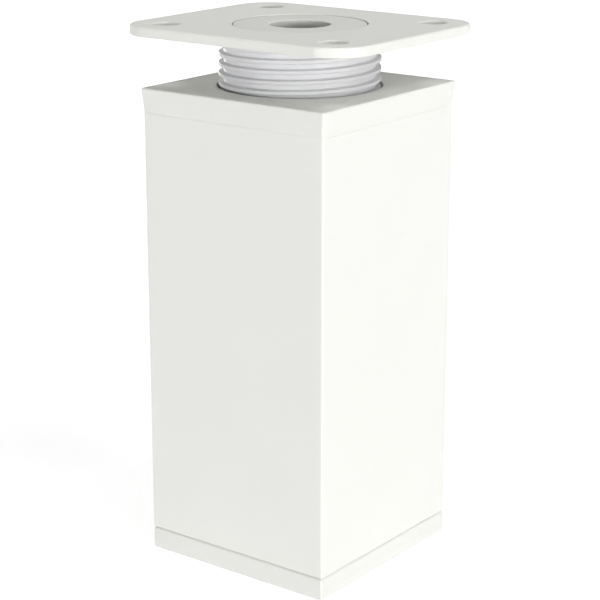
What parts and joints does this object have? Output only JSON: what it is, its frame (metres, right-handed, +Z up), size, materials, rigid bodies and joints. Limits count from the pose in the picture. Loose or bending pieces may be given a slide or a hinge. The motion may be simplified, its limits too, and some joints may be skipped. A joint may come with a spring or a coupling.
{
  "type": "adjustable cabinet leg",
  "caption": "Square cabinet leg: capped tube with a threaded collar, and a hollow screwed boss that carries a flat plate with countersunk screw holes.",
  "frame": {"origin": "middle of the foot cap's underside, where the leg stands on the floor", "axes": "+Z up along the thread's axis; +X along the plate's longer side"},
  "size_m": [0.051, 0.043, 0.1],
  "materials": {
    "coated_tube": "smooth satin white powder coat",
    "foot_plastic": "white moulded plastic, fine satin",
    "collar_plastic": "white moulded plastic, fine satin",
    "boss_plastic": "off-white moulded plastic",
    "coated_plate": "smooth satin white powder coat"
  },
  "bodies": {
    "leg_body": {"square_tube": "coated_tube", "foot_cap": "foot_plastic", "top_collar": "collar_plastic"},
    "plate": {"mounting_plate": "coated_plate"},
    "boss": {"threaded_boss": "boss_plastic"}
  },
  "joints": [
    {"name": "plate_lift", "type": "slide", "parent": "leg_body", "child": "plate", "axis": [0, 0, 1], "range_m": [-0.009, 0.008]},
    {"name": "boss_turn", "type": "hinge", "parent": "plate", "child": "boss", "pos_m": [0, 0, 0.0981], "axis": [0, 0, 1], "range_deg": [-1800, 1600]}
  ],
  "couplings": [
    {"joint": "plate_lift", "follows": "boss_turn", "m_per_rad": 0.00028648}
  ]
}
